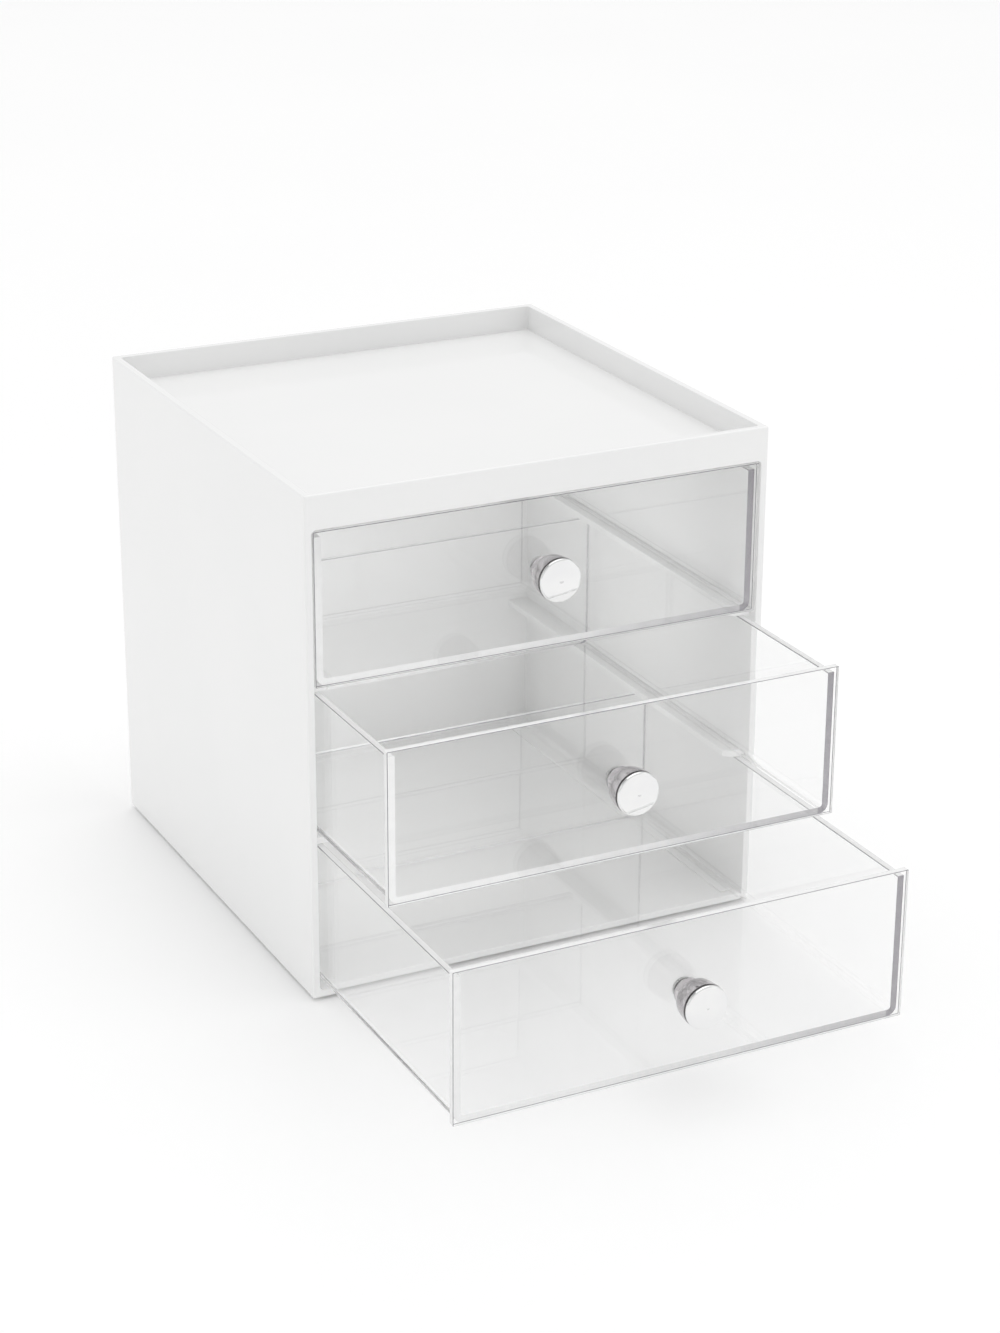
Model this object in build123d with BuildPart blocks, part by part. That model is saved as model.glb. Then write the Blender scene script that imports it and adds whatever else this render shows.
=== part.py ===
"""Three-drawer vanity organiser: an opaque white open-fronted shell with a
recessed tray on top, and three clear acrylic drawers with round metal knobs.

Millimetres, +Z up, +X to the right, the drawers open towards -Y.
The origin is on the surface the organiser stands on, under the shell's centre;
four soft feet lift the shell's flat underside 1.2 mm off that surface.
Each drawer is a heat-bent U of clear sheet (floor and two sides) cemented
between a flat front and a flat back, and carries one knob on one screw.
"""

import os
from math import sqrt

from build123d import *

# ---------------------------------------------------------------- shell
SHELL_W = 165.0
SHELL_D = 171.0
SHELL_H = 172.0
WALL = 2.5  # sides, back, bottom and top deck
TRAY_DEPTH = 9.0  # recess in the top
DECK_T = 2.5  # sheet under the recess
OUTER_R = 0.7  # rounding of the outer edges
RIM_R = 0.35  # rounding of the inner lips
MOUTH_R = 1.5  # corners of the front opening
RECESS_R = 1.2  # corners of the top recess

# ---------------------------------------------------------------- drawers
FRONT_W = 158.8
FRONT_H = 51.5
FRONT_T = 2.5
FRONT_GAP = 1.0  # between one front and the next
END_GAP = 0.75  # above the top front and below the bottom one
INSET = 0.3  # closed front behind the shell's front edge
TRAY_W = 157.0  # outside the bent U
TRAY_T = 2.3
TRAY_R = 3.3  # outside of the bend
WALL_DROP = 2.2  # side walls stop this far below the top of the front
BACK_T = 2.0
BACK_CLEAR = 0.3  # closed drawer to the shell's back wall
CEMENT = 0.02  # cement line between sheets
EDGE_R = 0.3  # flame-polished edges

# how far each drawer stands open in the rest position
OPEN_TOP = 0.0
OPEN_MIDDLE = 53.0
OPEN_BOTTOM = 98.0

# ---------------------------------------------------------------- runners
RUNNER_W = 8.0
RUNNER_T = 2.2
RUNNER_CLEAR = 0.3  # under a drawer's floor

# ---------------------------------------------------------------- knobs
KNOB_R = 7.3
KNOB_L = 12.8
KNOB_RISE = 1.5  # above the middle of the front
KNOB_BACK_R = 6.6  # the drum swells from here to KNOB_R
KNOB_FACE_R = 6.7
KNOB_DOME = 0.4  # crown of the face
KNOB_LINE = 0.3  # depth of the turned line behind the rim
KNOB_BORE_R = 2.0
KNOB_BORE_L = 7.0
SCREW_R = 1.95
SCREW_L = 8.0
SCREW_HEAD_R = 3.8
SCREW_HEAD_T = 2.5
HOLE_R = 2.2

# ---------------------------------------------------------------- feet
FOOT_R = 5.0
FOOT_H = 1.2
FOOT_X = 69.0
FOOT_Y = 72.0

# ---------------------------------------------------------------- derived
BASE_Z = FOOT_H  # the shell's flat underside
FRONT_Y = -SHELL_D / 2
IN_W = SHELL_W - 2 * WALL
IN_BACK_Y = SHELL_D / 2 - WALL
IN_BOT_Z = BASE_Z + WALL
DECK_TOP_Z = BASE_Z + SHELL_H - TRAY_DEPTH
IN_TOP_Z = DECK_TOP_Z - DECK_T
PITCH = FRONT_H + FRONT_GAP
Z_BOTTOM = IN_BOT_Z + END_GAP
Z_MIDDLE = Z_BOTTOM + PITCH
Z_TOP = Z_MIDDLE + PITCH
PANEL_Y = FRONT_Y + INSET  # front face of a closed drawer
TRAY_Y0 = PANEL_Y + FRONT_T + CEMENT
BACK_Y1 = IN_BACK_Y - BACK_CLEAR
TRAY_Y1 = BACK_Y1 - BACK_T - CEMENT
WALL_H = FRONT_H - WALL_DROP
KNOB_SPHERE = (KNOB_FACE_R**2 + KNOB_DOME**2) / (2 * KNOB_DOME)
KNOB_FACE_MID = KNOB_SPHERE - sqrt(KNOB_SPHERE**2 - (KNOB_FACE_R / 2) ** 2)

os.makedirs("parts", exist_ok=True)

# ================================================================ outer shell
with BuildPart() as outer_shell:
    with BuildSketch(Plane.XY.offset(BASE_Z)):
        Rectangle(SHELL_W, SHELL_D)
    extrude(amount=SHELL_H)
    fillet(outer_shell.edges(), radius=OUTER_R)

    # the bay that takes the three drawers, open at the front
    with BuildSketch(Plane.XZ.offset(-IN_BACK_Y)) as bay:
        with Locations((0, (IN_BOT_Z + IN_TOP_Z) / 2)):
            Rectangle(IN_W, IN_TOP_Z - IN_BOT_Z)
        fillet(bay.vertices(), radius=MOUTH_R)
    extrude(amount=IN_BACK_Y - FRONT_Y + 1.0, mode=Mode.SUBTRACT)

    # the recessed tray on top
    with BuildSketch(Plane.XY.offset(DECK_TOP_Z)) as recess:
        Rectangle(IN_W, SHELL_D - 2 * WALL)
        fillet(recess.vertices(), radius=RECESS_R)
    extrude(amount=TRAY_DEPTH + 1.0, mode=Mode.SUBTRACT)

    # lips of the tray and of the front opening
    fillet(
        outer_shell.faces().sort_by(Axis.Z)[-1].inner_wires()[0].edges(),
        radius=RIM_R,
    )
    fillet(
        outer_shell.faces().sort_by(Axis.Y)[0].inner_wires()[0].edges(),
        radius=RIM_R,
    )

    # side runners under the top and the middle drawer
    for z_floor in (Z_MIDDLE, Z_TOP):
        with BuildSketch(Plane.XY.offset(z_floor - RUNNER_CLEAR - RUNNER_T)):
            for side in (-1, 1):
                with BuildLine():
                    Polyline(
                        (side * (IN_W / 2 + 0.5), TRAY_Y0 + 1.0),
                        (side * (IN_W / 2 - RUNNER_W + 2.5), TRAY_Y0 + 1.0),
                        (side * (IN_W / 2 - RUNNER_W), TRAY_Y0 + 3.5),
                        (side * (IN_W / 2 - RUNNER_W), IN_BACK_Y + 0.5),
                        (side * (IN_W / 2 + 0.5), IN_BACK_Y + 0.5),
                        close=True,
                    )
                make_face()
        extrude(amount=RUNNER_T)

    # low rubbing strips on the bay's floor, under the bottom drawer
    with BuildSketch(Plane.XY.offset(IN_BOT_Z - 0.5)):
        for side in (-1, 1):
            with Locations(
                (side * (IN_W / 2 - RUNNER_W + 2.0), (TRAY_Y0 + 1.0 + IN_BACK_Y) / 2)
            ):
                Rectangle(4.0, IN_BACK_Y - TRAY_Y0 - 1.0 + 1.0)
    extrude(amount=0.5 + END_GAP - RUNNER_CLEAR)

outer_shell.part.label = "outer_shell"
export_step(outer_shell.part, "parts/outer_shell.step")

# ================================================================ feet
for foot_name, foot_x, foot_y in (
    ("foot_front_left", -FOOT_X, -FOOT_Y),
    ("foot_front_right", FOOT_X, -FOOT_Y),
    ("foot_rear_left", -FOOT_X, FOOT_Y),
    ("foot_rear_right", FOOT_X, FOOT_Y),
):
    with BuildPart() as foot:
        with BuildSketch(Plane.XY):
            with Locations((foot_x, foot_y)):
                Circle(FOOT_R)
        extrude(amount=FOOT_H)
        fillet(foot.edges().sort_by(Axis.Z)[0], radius=0.9)
    foot.part.label = foot_name
    export_step(foot.part, f"parts/{foot_name}.step")

# ================================================================ drawers
for level, z0, opening in (
    ("top", Z_TOP, OPEN_TOP),
    ("middle", Z_MIDDLE, OPEN_MIDDLE),
    ("bottom", Z_BOTTOM, OPEN_BOTTOM),
):
    knob_z = z0 + FRONT_H / 2 + KNOB_RISE
    y_front = PANEL_Y - opening  # outer face of the front
    y_back_face = y_front + FRONT_T  # inner face of the front

    # bent U: floor and both side walls
    with BuildPart() as drawer_tray:
        with BuildSketch(Plane.XZ.offset(-(TRAY_Y1 - opening))):
            with BuildLine():
                FilletPolyline(
                    (-TRAY_W / 2, z0 + WALL_H),
                    (-TRAY_W / 2, z0),
                    (TRAY_W / 2, z0),
                    (TRAY_W / 2, z0 + WALL_H),
                    radius=TRAY_R,
                )
                Line(
                    (TRAY_W / 2, z0 + WALL_H),
                    (TRAY_W / 2 - TRAY_T, z0 + WALL_H),
                )
                FilletPolyline(
                    (TRAY_W / 2 - TRAY_T, z0 + WALL_H),
                    (TRAY_W / 2 - TRAY_T, z0 + TRAY_T),
                    (-TRAY_W / 2 + TRAY_T, z0 + TRAY_T),
                    (-TRAY_W / 2 + TRAY_T, z0 + WALL_H),
                    radius=TRAY_R - TRAY_T,
                )
                Line(
                    (-TRAY_W / 2 + TRAY_T, z0 + WALL_H),
                    (-TRAY_W / 2, z0 + WALL_H),
                )
            make_face()
        extrude(amount=TRAY_Y1 - TRAY_Y0)
        # polished upper edges of the two walls
        fillet(
            drawer_tray.edges().filter_by(Axis.Y).group_by(Axis.Z)[-1],
            radius=EDGE_R,
        )
    drawer_tray.part.label = f"{level}_drawer_tray"
    export_step(drawer_tray.part, f"parts/{level}_drawer_tray.step")

    # flat front, drilled for the knob's screw
    with BuildPart() as drawer_front:
        with BuildSketch(Plane.XZ.offset(-y_back_face)):
            with Locations((0, z0 + FRONT_H / 2)):
                Rectangle(FRONT_W, FRONT_H)
        extrude(amount=FRONT_T)
        fillet(drawer_front.edges(), radius=EDGE_R)
        with BuildSketch(Plane.XZ.offset(-y_back_face)):
            with Locations((0, knob_z)):
                Circle(HOLE_R)
        extrude(amount=FRONT_T, mode=Mode.SUBTRACT)
    drawer_front.part.label = f"{level}_drawer_front"
    export_step(drawer_front.part, f"parts/{level}_drawer_front.step")

    # flat back, its lower corners following the bend of the U
    with BuildPart() as drawer_back:
        with BuildSketch(Plane.XZ.offset(-(BACK_Y1 - opening))) as outline:
            with Locations((0, z0 + WALL_H / 2)):
                Rectangle(TRAY_W, WALL_H)
            fillet(outline.vertices().group_by(Axis.Y)[0], radius=TRAY_R)
        extrude(amount=BACK_T)
        fillet(
            drawer_back.edges().filter_by(Axis.X).group_by(Axis.Z)[-1],
            radius=EDGE_R,
        )
    drawer_back.part.label = f"{level}_drawer_back"
    export_step(drawer_back.part, f"parts/{level}_drawer_back.step")

    # knob: a short neck, a flare and a plain drum with a bevelled, slightly
    # domed face; turned about its own axis, which runs along -Y
    with BuildPart() as knob:
        with BuildSketch(
            Plane(origin=(0, y_front, knob_z), x_dir=(1, 0, 0), z_dir=(0, 0, 1))
        ):
            with BuildLine():
                Polyline(
                    (0, -KNOB_BORE_L),
                    (KNOB_BORE_R, -KNOB_BORE_L + 0.9),
                    (KNOB_BORE_R, 0),
                    (4.6, 0),
                    (4.6, -0.7),
                    (4.0, -1.3),
                    (4.0, -2.4),
                )
                Spline(
                    (4.0, -2.4),
                    (4.6, -3.7),
                    (KNOB_BACK_R, -4.9),
                    tangents=((0, -1), (0.9, -0.45)),
                )
                ThreePointArc(
                    (KNOB_BACK_R, -4.9),
                    (KNOB_R - 0.17, -7.4),
                    (KNOB_R, -KNOB_L + 2.0),
                )
                Polyline(
                    (KNOB_R, -KNOB_L + 2.0),
                    (KNOB_R - KNOB_LINE, -KNOB_L + 1.75),
                    (KNOB_R - KNOB_LINE, -KNOB_L + 1.5),
                    (KNOB_R, -KNOB_L + 1.3),
                    (KNOB_R, -KNOB_L + 1.05),
                )
                ThreePointArc(
                    (KNOB_R, -KNOB_L + 1.05),
                    (KNOB_R - 0.17, -KNOB_L + 0.62),
                    (KNOB_FACE_R, -KNOB_L + KNOB_DOME),
                )
                ThreePointArc(
                    (KNOB_FACE_R, -KNOB_L + KNOB_DOME),
                    (KNOB_FACE_R / 2, -KNOB_L + KNOB_FACE_MID),
                    (0, -KNOB_L),
                )
                Line((0, -KNOB_L), (0, -KNOB_BORE_L))
            make_face()
        revolve(axis=Axis((0, y_front, knob_z), (0, 1, 0)))
    knob.part.label = f"{level}_knob"
    export_step(knob.part, f"parts/{level}_knob.step")

    # pan-head screw with a cross recess, its head inside the drawer
    with BuildPart() as knob_screw:
        with BuildSketch(
            Plane(origin=(0, y_back_face, knob_z), x_dir=(1, 0, 0), z_dir=(0, 0, 1))
        ):
            with BuildLine():
                Polyline(
                    (0, -SCREW_L),
                    (SCREW_R - 0.5, -SCREW_L),
                    (SCREW_R, -SCREW_L + 0.5),
                    (SCREW_R, 0),
                    (SCREW_HEAD_R, 0),
                    (SCREW_HEAD_R, 0.7),
                )
                ThreePointArc(
                    (SCREW_HEAD_R, 0.7),
                    (SCREW_HEAD_R * 0.82, SCREW_HEAD_T * 0.78),
                    (SCREW_HEAD_R * 0.35, SCREW_HEAD_T),
                )
                Line((SCREW_HEAD_R * 0.35, SCREW_HEAD_T), (0, SCREW_HEAD_T))
                Line((0, SCREW_HEAD_T), (0, -SCREW_L))
            make_face()
        revolve(axis=Axis((0, y_back_face, knob_z), (0, 1, 0)))
        with BuildSketch(Plane.XZ.offset(-(y_back_face + SCREW_HEAD_T + 0.1))):
            with Locations((0, knob_z)):
                Rectangle(3.6, 0.9)
                Rectangle(0.9, 3.6)
        extrude(amount=1.6, mode=Mode.SUBTRACT)
    knob_screw.part.label = f"{level}_knob_screw"
    export_step(knob_screw.part, f"parts/{level}_knob_screw.step")
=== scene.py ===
"""White vanity organiser with a recessed top and three clear drawers on round
metal knobs: finishes, floor, light and camera."""

import math

import bmesh
import bpy
from mathutils import Matrix, Vector


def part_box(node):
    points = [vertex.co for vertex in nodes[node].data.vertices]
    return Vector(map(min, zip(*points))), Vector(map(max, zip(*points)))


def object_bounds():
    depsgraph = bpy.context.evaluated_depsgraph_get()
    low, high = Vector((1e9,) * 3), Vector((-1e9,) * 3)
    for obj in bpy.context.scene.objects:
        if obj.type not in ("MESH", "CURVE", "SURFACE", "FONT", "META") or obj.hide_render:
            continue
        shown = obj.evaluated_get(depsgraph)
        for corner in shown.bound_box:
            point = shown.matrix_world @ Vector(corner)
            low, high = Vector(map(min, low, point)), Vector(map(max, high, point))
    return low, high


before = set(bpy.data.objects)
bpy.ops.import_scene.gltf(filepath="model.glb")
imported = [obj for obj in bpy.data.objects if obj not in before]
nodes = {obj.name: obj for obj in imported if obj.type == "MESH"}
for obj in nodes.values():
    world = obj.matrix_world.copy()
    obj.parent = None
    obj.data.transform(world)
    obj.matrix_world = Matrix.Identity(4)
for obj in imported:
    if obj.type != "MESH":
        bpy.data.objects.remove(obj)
cad_lo, cad_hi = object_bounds()
scene = bpy.context.scene
MM = 0.001
LEVELS = ("top", "middle", "bottom")


# ------------------------------------------------------------------ materials
def material(name):
    m = bpy.data.materials.new(name)
    m.use_nodes = True
    nt = m.node_tree
    bsdf = nt.nodes["Principled BSDF"]
    return m, nt, bsdf


def node(nt, kind, **values):
    n = nt.nodes.new(kind)
    for key, value in values.items():
        setattr(n, key, value)
    return n


def noise(nt, vec, scale, detail=3.0, rough=0.5, stretch=None):
    if stretch is not None:
        mapping = node(nt, "ShaderNodeMapping")
        mapping.inputs["Scale"].default_value = stretch
        nt.links.new(vec, mapping.inputs["Vector"])
        vec = mapping.outputs["Vector"]
    n = node(nt, "ShaderNodeTexNoise")
    n.inputs["Scale"].default_value = scale
    n.inputs["Detail"].default_value = detail
    n.inputs["Roughness"].default_value = rough
    nt.links.new(vec, n.inputs["Vector"])
    return n.outputs["Fac"]


def ramp(nt, fac, stops):
    r = node(nt, "ShaderNodeValToRGB")
    e = r.color_ramp.elements
    while len(e) > len(stops):
        e.remove(e[-1])
    while len(e) < len(stops):
        e.new(0.5)
    for slot, (pos, col) in zip(e, stops):
        slot.position = pos
        slot.color = col if len(col) == 4 else (*col, 1.0)
    nt.links.new(fac, r.inputs["Fac"])
    return r.outputs["Color"]


def remap(nt, fac, lo, hi, to_lo, to_hi):
    r = node(nt, "ShaderNodeMapRange")
    r.inputs["From Min"].default_value = lo
    r.inputs["From Max"].default_value = hi
    r.inputs["To Min"].default_value = to_lo
    r.inputs["To Max"].default_value = to_hi
    nt.links.new(fac, r.inputs["Value"])
    return r.outputs["Result"]


def math_node(nt, op, a, b=None, clamp=False):
    m = node(nt, "ShaderNodeMath", operation=op)
    m.use_clamp = clamp
    for socket, value in zip(m.inputs, (a, b)):
        if value is None:
            continue
        if isinstance(value, (int, float)):
            socket.default_value = value
        else:
            nt.links.new(value, socket)
    return m.outputs[0]


def bump(nt, height, strength, distance, below=None):
    b = node(nt, "ShaderNodeBump")
    b.inputs["Strength"].default_value = strength
    b.inputs["Distance"].default_value = distance
    nt.links.new(height, b.inputs["Height"])
    if below is not None:
        nt.links.new(below, b.inputs["Normal"])
    return b.outputs["Normal"]


def scratches(nt, vec, scale, angle, width):
    """Thin hairlines all over, in one lie: 1 on a line, 0 off it."""
    mapping = node(nt, "ShaderNodeMapping")
    mapping.inputs["Rotation"].default_value = angle
    mapping.inputs["Scale"].default_value = (1.0, 0.035, 0.05)
    nt.links.new(vec, mapping.inputs["Vector"])
    v = node(nt, "ShaderNodeTexVoronoi", feature="DISTANCE_TO_EDGE")
    v.inputs["Scale"].default_value = scale
    nt.links.new(mapping.outputs["Vector"], v.inputs["Vector"])
    return remap(nt, v.outputs["Distance"], 0.0, width, 1.0, 0.0)


def shell_white():
    """Opaque white moulding: high gloss, faint orange peel, a few rub marks."""
    m, nt, b = material("shell_white")
    vec = node(nt, "ShaderNodeTexCoord").outputs["Object"]
    cloud = noise(nt, vec, 14.0, 3.0)
    nt.links.new(
        ramp(nt, cloud, [(0.3, (0.880, 0.882, 0.880)), (0.7, (0.900, 0.900, 0.897))]),
        b.inputs["Base Color"],
    )
    smear = noise(nt, vec, 60.0, 5.0, 0.6)
    hair = scratches(nt, vec, 190.0, (0.2, 0.4, 0.6), 0.012)
    sparse = remap(nt, noise(nt, vec, 35.0, 2.0), 0.52, 0.68, 0.0, 1.0)
    hair = math_node(nt, "MULTIPLY", hair, sparse)
    rough = math_node(
        nt, "ADD", remap(nt, smear, 0.35, 0.75, 0.07, 0.13), math_node(nt, "MULTIPLY", hair, 0.10)
    )
    nt.links.new(rough, b.inputs["Roughness"])
    peel = noise(nt, vec, 420.0, 2.0)
    wave = noise(nt, vec, 22.0, 1.0)
    n1 = bump(nt, wave, 0.10, 0.0006)
    n2 = bump(nt, peel, 0.035, 0.00012, n1)
    n3 = bump(nt, hair, 0.04, 0.00003, n2)
    nt.links.new(n3, b.inputs["Normal"])
    b.inputs["IOR"].default_value = 1.50
    b.inputs["Specular IOR Level"].default_value = 0.5
    b.inputs["Coat Weight"].default_value = 0.5
    b.inputs["Coat Roughness"].default_value = 0.03
    return m


def acrylic(name, kind, top=None):
    """Clear sheet: polished faces with faint wipe marks and hairlines, and whiter,
    softer saw-cut edges. The lower and right-hand edges carry painted shade, and
    fine grey lines of painted shade run along the arrises between face and edge.
    kind is "panel", a flat sheet square to Y, or "tray", the bent U, whose upper
    edges lie at height top."""
    m, nt, b = material(name)
    coord = node(nt, "ShaderNodeTexCoord")
    vec = coord.outputs["Object"]
    normal = node(nt, "ShaderNodeSeparateXYZ")
    nt.links.new(coord.outputs["Normal"], normal.inputs[0])
    along = math_node(nt, "ABSOLUTE", normal.outputs["Y"])
    arris = math_node(
        nt, "MULTIPLY", remap(nt, along, 0.12, 0.35, 0.0, 1.0), remap(nt, along, 0.86, 0.97, 1.0, 0.0)
    )
    if kind == "panel":
        edge = remap(nt, along, 0.55, 0.9, 1.0, 0.0)
    else:
        edge = remap(nt, along, 0.35, 0.8, 0.0, 1.0)
        place = node(nt, "ShaderNodeSeparateXYZ")
        nt.links.new(vec, place.inputs[0])
        rim = remap(nt, place.outputs["Z"], top - 0.0005, top - 0.0002, 0.0, 1.0)
        edge = math_node(nt, "MAXIMUM", edge, rim)
        upward = math_node(nt, "ABSOLUTE", normal.outputs["Z"])
        turn = math_node(
            nt, "MULTIPLY", remap(nt, upward, 0.2, 0.4, 0.0, 1.0), remap(nt, upward, 0.86, 0.97, 1.0, 0.0)
        )
        arris = math_node(nt, "MAXIMUM", arris, math_node(nt, "MULTIPLY", turn, rim))
    haze = remap(nt, noise(nt, vec, 320.0, 4.0, 0.6), 0.3, 0.7, 0.93, 1.0)
    edge = math_node(nt, "MULTIPLY", edge, haze)
    cloudy = math_node(nt, "MAXIMUM", edge, math_node(nt, "MULTIPLY", arris, 0.8))
    nt.links.new(remap(nt, cloudy, 0.0, 1.0, 1.0, 0.28), b.inputs["Transmission Weight"])
    b.inputs["IOR"].default_value = 1.49
    tint = noise(nt, vec, 9.0, 2.0)
    face = ramp(nt, tint, [(0.3, (0.997, 0.998, 0.998)), (0.7, (0.999, 0.999, 0.999))])
    colour = node(nt, "ShaderNodeMix", data_type="RGBA")
    nt.links.new(edge, colour.inputs["Factor"])
    nt.links.new(face, colour.inputs[6])
    # painted shade: the lower edge of a sheet, and the U's ends towards the right,
    # are painted greyer than the rest, standing in for the shade these edges lie in
    if kind == "panel":
        down = remap(nt, normal.outputs["Z"], -0.9, -0.5, 1.0, 0.0)
        side = remap(nt, normal.outputs["X"], 0.5, 0.9, 0.0, 0.4)
        painted_edge_shade = math_node(nt, "MAXIMUM", down, side)
    else:
        # painted shade: the tray's edges grow greyer towards the right, and fully grey on the right wall
        across = remap(nt, place.outputs["X"], 0.015, 0.070, 0.0, 0.55)
        wall = remap(nt, place.outputs["X"], 0.0738, 0.0750, 0.0, 1.0)
        ends = remap(nt, along, 0.35, 0.8, 0.0, 1.0)
        painted_edge_shade = math_node(nt, "MULTIPLY", math_node(nt, "MAXIMUM", across, wall), ends)
    edge_shade_mix = node(nt, "ShaderNodeMix", data_type="RGBA")
    nt.links.new(painted_edge_shade, edge_shade_mix.inputs["Factor"])
    # the white edge colour, and the grey of the painted edge shade
    edge_shade_mix.inputs[6].default_value = (0.975, 0.977, 0.977, 1.0)
    edge_shade_mix.inputs[7].default_value = (0.33, 0.315, 0.345, 1.0)
    nt.links.new(edge_shade_mix.outputs[2], colour.inputs[7])
    # painted shade: the arrises are painted dark grey, standing in for the dark lines refraction draws along
    # the corners of a clear sheet
    arris_painted_shade = node(nt, "ShaderNodeMix", data_type="RGBA")
    nt.links.new(arris, arris_painted_shade.inputs["Factor"])
    nt.links.new(colour.outputs[2], arris_painted_shade.inputs[6])
    arris_painted_shade.inputs[7].default_value = (0.25, 0.245, 0.26, 1.0)
    nt.links.new(arris_painted_shade.outputs[2], b.inputs["Base Color"])
    hair = scratches(nt, vec, 230.0, (0.5, 0.2, 1.1), 0.010)
    sparse = remap(nt, noise(nt, vec, 28.0, 2.0), 0.55, 0.7, 0.0, 1.0)
    hair = math_node(nt, "MULTIPLY", hair, sparse)
    wipe = remap(nt, noise(nt, vec, 45.0, 4.0, 0.6), 0.55, 0.8, 0.0, 0.015)
    rough = math_node(nt, "ADD", wipe, math_node(nt, "MULTIPLY", hair, 0.06))
    rough = math_node(nt, "ADD", rough, math_node(nt, "MULTIPLY", edge, 0.22))
    nt.links.new(rough, b.inputs["Roughness"])
    wave = noise(nt, vec, 26.0, 1.0)
    n1 = bump(nt, wave, 0.02, 0.0003)
    n2 = bump(nt, hair, 0.02, 0.00002, n1)
    nt.links.new(n2, b.inputs["Normal"])
    # soft light passes straight through the sheet to what is behind it
    path = node(nt, "ShaderNodeLightPath")
    clear = node(nt, "ShaderNodeBsdfTransparent")
    clear.inputs["Color"].default_value = (0.993, 0.993, 0.993, 1.0)
    soft = node(nt, "ShaderNodeMixShader")
    nt.links.new(path.outputs["Is Diffuse Ray"], soft.inputs[0])
    nt.links.new(b.outputs["BSDF"], soft.inputs[1])
    nt.links.new(clear.outputs["BSDF"], soft.inputs[2])
    lamp = node(nt, "ShaderNodeMixShader")
    nt.links.new(path.outputs["Is Shadow Ray"], lamp.inputs[0])
    nt.links.new(soft.outputs["Shader"], lamp.inputs[1])
    nt.links.new(clear.outputs["BSDF"], lamp.inputs[2])
    out = next(n for n in nt.nodes if n.type == "OUTPUT_MATERIAL")
    nt.links.new(lamp.outputs["Shader"], out.inputs["Surface"])
    return m


def chrome(level):
    """Plated knob: a bright buffed face, a side painted darker as painted reflection,
    and painted shade as a near-black band in the line behind the rim. The face is
    at the knob's lowest Y."""
    m, nt, b = material(f"knob_chrome_{level}")
    vec = node(nt, "ShaderNodeTexCoord").outputs["Object"]
    face_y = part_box(f"{level}_knob")[0].y
    b.inputs["Metallic"].default_value = 1.0
    cloud = noise(nt, vec, 120.0, 3.0)
    bright = ramp(nt, cloud, [(0.3, (0.84, 0.84, 0.845)), (0.7, (0.88, 0.88, 0.875))])
    # painted reflection: the side is a darker, mauve copy of the chrome, painted with the dim surroundings it
    # mirrors
    side = ramp(nt, cloud, [(0.3, (0.52, 0.505, 0.52)), (0.7, (0.62, 0.60, 0.61))])
    place = node(nt, "ShaderNodeSeparateXYZ")
    nt.links.new(vec, place.inputs[0])
    depth = math_node(nt, "SUBTRACT", place.outputs["Y"], face_y)
    painted_side_shade = node(nt, "ShaderNodeMix", data_type="RGBA")
    nt.links.new(remap(nt, depth, 0.0012, 0.0014, 0.0, 1.0), painted_side_shade.inputs["Factor"])
    nt.links.new(bright, painted_side_shade.inputs[6])
    nt.links.new(side, painted_side_shade.inputs[7])
    # painted shade: a near-black band in the line behind the rim, where shade falls in the recess
    line = math_node(
        nt, "MULTIPLY", remap(nt, depth, 0.0011, 0.0013, 0.0, 1.0), remap(nt, depth, 0.0020, 0.0022, 1.0, 0.0)
    )
    groove_painted_shade = node(nt, "ShaderNodeMix", data_type="RGBA")
    nt.links.new(line, groove_painted_shade.inputs["Factor"])
    nt.links.new(painted_side_shade.outputs[2], groove_painted_shade.inputs[6])
    groove_painted_shade.inputs[7].default_value = (0.085, 0.08, 0.082, 1.0)
    nt.links.new(groove_painted_shade.outputs[2], b.inputs["Base Color"])
    hair = scratches(nt, vec, 900.0, (0.9, 0.1, 0.7), 0.02)
    sparse = remap(nt, noise(nt, vec, 220.0, 2.0), 0.5, 0.65, 0.0, 1.0)
    hair = math_node(nt, "MULTIPLY", hair, sparse)
    wipe = remap(nt, noise(nt, vec, 260.0, 5.0, 0.6), 0.4, 0.75, 0.035, 0.09)
    nt.links.new(
        math_node(nt, "ADD", wipe, math_node(nt, "MULTIPLY", hair, 0.1)),
        b.inputs["Roughness"],
    )
    ripple = noise(nt, vec, 300.0, 1.0)
    nt.links.new(bump(nt, ripple, 0.05, 0.00006), b.inputs["Normal"])
    return m


def zinc():
    """Plated screw: dull grey with a fine grain."""
    m, nt, b = material("screw_zinc")
    vec = node(nt, "ShaderNodeTexCoord").outputs["Object"]
    b.inputs["Metallic"].default_value = 1.0
    cloud = noise(nt, vec, 500.0, 4.0)
    nt.links.new(
        ramp(nt, cloud, [(0.3, (0.56, 0.57, 0.58)), (0.7, (0.68, 0.68, 0.67))]),
        b.inputs["Base Color"],
    )
    nt.links.new(remap(nt, cloud, 0.3, 0.7, 0.22, 0.36), b.inputs["Roughness"])
    grain = noise(nt, vec, 3500.0, 2.0)
    nt.links.new(bump(nt, grain, 0.15, 0.00003), b.inputs["Normal"])
    return m


def silicone():
    """Soft clear foot: milky, slightly tacky surface with dust in it."""
    m, nt, b = material("foot_silicone")
    vec = node(nt, "ShaderNodeTexCoord").outputs["Object"]
    cloud = noise(nt, vec, 600.0, 4.0)
    nt.links.new(
        ramp(nt, cloud, [(0.3, (0.74, 0.75, 0.75)), (0.7, (0.84, 0.84, 0.83))]),
        b.inputs["Base Color"],
    )
    nt.links.new(remap(nt, cloud, 0.3, 0.7, 0.32, 0.5), b.inputs["Roughness"])
    b.inputs["Transmission Weight"].default_value = 0.35
    b.inputs["IOR"].default_value = 1.41
    grain = noise(nt, vec, 2500.0, 2.0)
    nt.links.new(bump(nt, grain, 0.2, 0.00004), b.inputs["Normal"])
    return m


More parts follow.
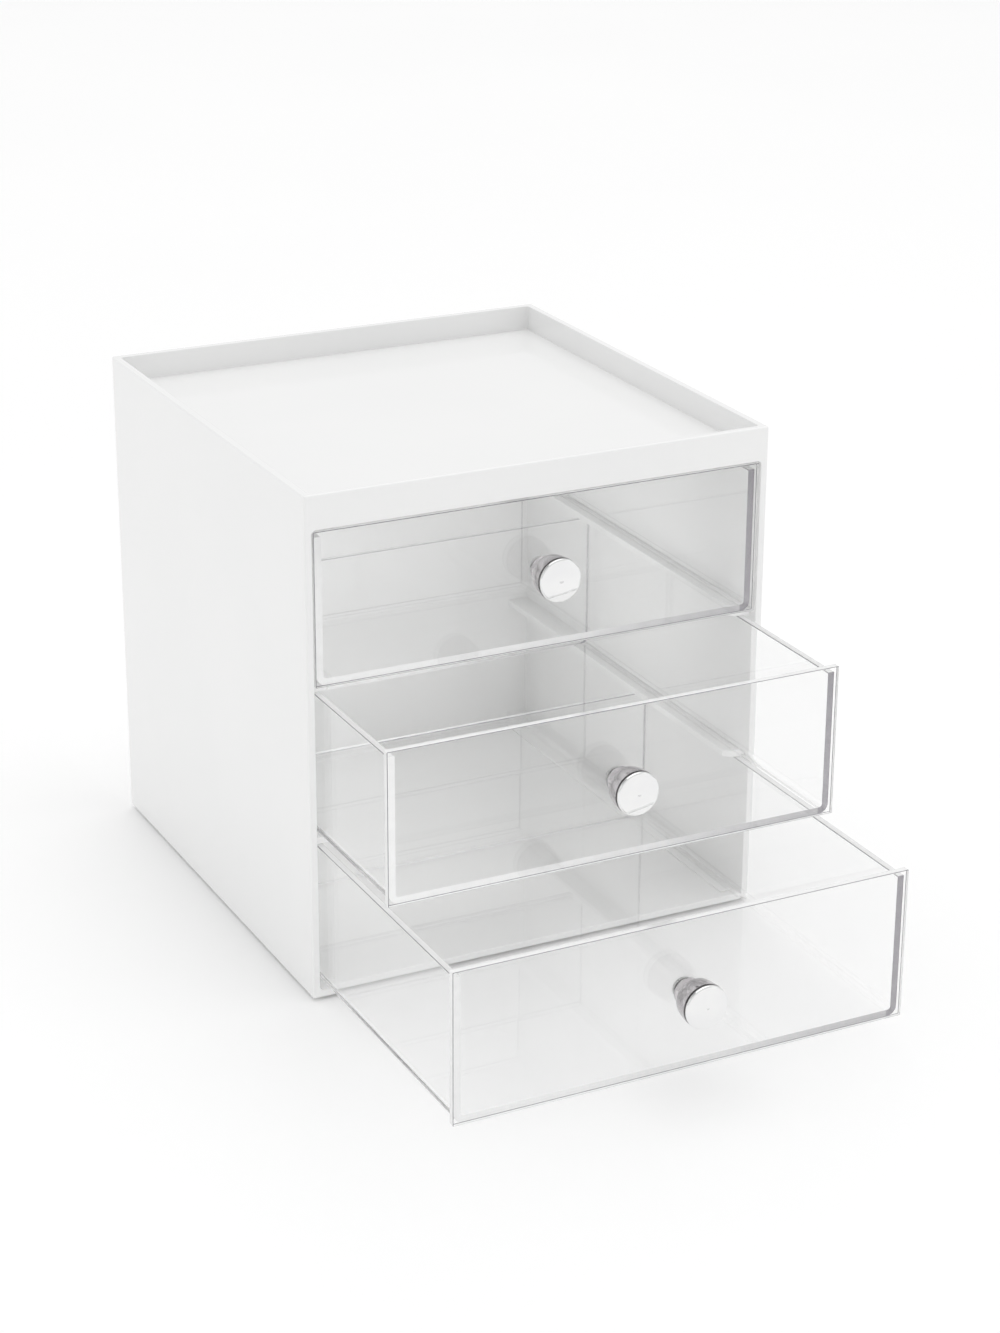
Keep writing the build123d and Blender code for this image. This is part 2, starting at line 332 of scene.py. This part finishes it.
WHITE, ZINC, SILICONE = shell_white(), zinc(), silicone()
CHROME = {level: chrome(level) for level in LEVELS}
PANEL = acrylic("acrylic_panel", "panel")
TRAYS = {
    level: acrylic(
        f"acrylic_tray_{level}", "tray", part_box(f"{level}_drawer_tray")[1].z
    )
    for level in LEVELS
}


def finish_of(name):
    if name.endswith("_drawer_tray"):
        return TRAYS[name.split("_")[0]]
    if name.endswith(("_drawer_front", "_drawer_back")):
        return PANEL
    if name.endswith("_screw"):
        return ZINC
    if name.endswith("_knob"):
        return CHROME[name.split("_")[0]]
    if name.startswith("foot_"):
        return SILICONE
    return WHITE


def dress(obj, mat):
    for slot in obj.material_slots:
        slot.material = mat
    if not obj.material_slots:
        obj.data.materials.append(mat)


for name, obj in nodes.items():
    dress(obj, finish_of(name))

# ------------------------------------------------------------------ floor
floor_z = cad_lo.z
bm = bmesh.new()
bmesh.ops.create_grid(bm, x_segments=4, y_segments=4, size=9.0)
me = bpy.data.meshes.new("floor")
bm.to_mesh(me)
bm.free()
floor = bpy.data.objects.new("floor", me)
floor.location = (0, 3.0, floor_z)
scene.collection.objects.link(floor)
fm, fnt, fb = material("floor_pale")
fvec = node(fnt, "ShaderNodeTexCoord").outputs["Object"]
fnt.links.new(
    ramp(fnt, noise(fnt, fvec, 3.0, 3.0), [(0.3, (0.975, 0.975, 0.975)), (0.7, (0.985, 0.985, 0.984))]),
    fb.inputs["Base Color"],
)
fb.inputs["Roughness"].default_value = 0.6
floor.data.materials.append(fm)

# ------------------------------------------------------------------ light
world = bpy.data.worlds.new("studio")
scene.world = world
world.use_nodes = True
wnt = world.node_tree
bg = wnt.nodes["Background"]
bg.inputs["Color"].default_value = (1.0, 1.0, 1.0, 1.0)
bg.inputs["Strength"].default_value = 0.81


def softbox(name, loc, target, size, power, colour=(1, 1, 1)):
    data = bpy.data.lights.new(name, "AREA")
    data.shape = "RECTANGLE"
    data.size, data.size_y = size
    data.energy = power
    data.color = colour
    o = bpy.data.objects.new(name, data)
    o.location = loc
    o.rotation_mode = "QUATERNION"
    o.rotation_quaternion = (Vector(loc) - Vector(target)).to_track_quat("Z", "Y")
    scene.collection.objects.link(o)
    return o


softbox("top", (0.1, -0.15, 1.8), (0, 0, 0.1), (1.6, 1.6), 2.0)

# an even wash from above, so that the floor stays white to the far edge
wash = bpy.data.lights.new("wash", "SUN")
wash.energy = 0.58
wash.angle = math.radians(70)
wash_lamp = bpy.data.objects.new("wash", wash)
wash_lamp.rotation_euler = (math.radians(-8), 0, 0)
scene.collection.objects.link(wash_lamp)

softbox("right", (1.5, -1.3, 0.8), (0, 0, 0.08), (1.0, 1.0), 1.2)

# soft glow inside the bay, as light comes in at the mouth and through thin
# white walls: one sheet of light faces the back, one faces the right wall
for name, place, target, size, power in (
    ("bay_mouth", (-0.028, -0.062, 0.104), (-0.028, 0.08, 0.098), (0.085, 0.08), 0.050),
    ("bay_side", (-0.0785, 0.03, 0.088), (0.08, 0.03, 0.088), (0.09, 0.15), 0.001),
):
    bay_light = softbox(name, place, target, size, power)
    bay_light.visible_camera = False
    bay_light.visible_glossy = False
    bay_light.visible_transmission = False


def dark_card(name, direction, distance, size):
    """A black studio card that only shiny surfaces mirror."""
    d = Vector(direction).normalized()
    bm = bmesh.new()
    bmesh.ops.create_grid(bm, x_segments=1, y_segments=1, size=size / 2)
    me = bpy.data.meshes.new(name)
    bm.to_mesh(me)
    bm.free()
    o = bpy.data.objects.new(name, me)
    o.location = Vector((0, -0.1, 0.08)) + d * distance
    o.rotation_mode = "QUATERNION"
    o.rotation_quaternion = d.to_track_quat("Z", "Y")
    cm, cnt, cb = material(name)
    cb.inputs["Base Color"].default_value = (0.012, 0.012, 0.012, 1.0)
    cb.inputs["Roughness"].default_value = 0.9
    me.materials.append(cm)
    scene.collection.objects.link(o)
    o.visible_camera = False
    o.visible_diffuse = False
    o.visible_transmission = False
    o.visible_shadow = False


dark_card("card_upper_left", (-0.67, 0.17, 0.72), 1.6, 0.95)

# ------------------------------------------------------------------ camera
cam_data = bpy.data.cameras.new("camera")
cam_data.sensor_width = 36.0
cam_data.lens = 81.69
cam_data.clip_start = 0.05
cam_data.clip_end = 60.0
cam = bpy.data.objects.new("camera", cam_data)
right = Vector((0.89441203, -0.4472188, 0.00473952))
up = Vector((0.16228501, 0.33439922, 0.92835378))
back = Vector((-0.41676216, -0.82956164, 0.37166759))
rot = Matrix((right, up, back)).transposed()
cam.matrix_world = Matrix.Translation((-0.42016, -0.89111, 0.46688)) @ rot.to_4x4()
scene.collection.objects.link(cam)
scene.camera = cam

# ------------------------------------------------------------------ colour
scene.view_settings.view_transform = "Standard"
scene.view_settings.look = "None"
scene.cycles.max_bounces = 48
scene.cycles.transmission_bounces = 48
scene.cycles.glossy_bounces = 48
scene.cycles.transparent_max_bounces = 64
scene.cycles.diffuse_bounces = 8
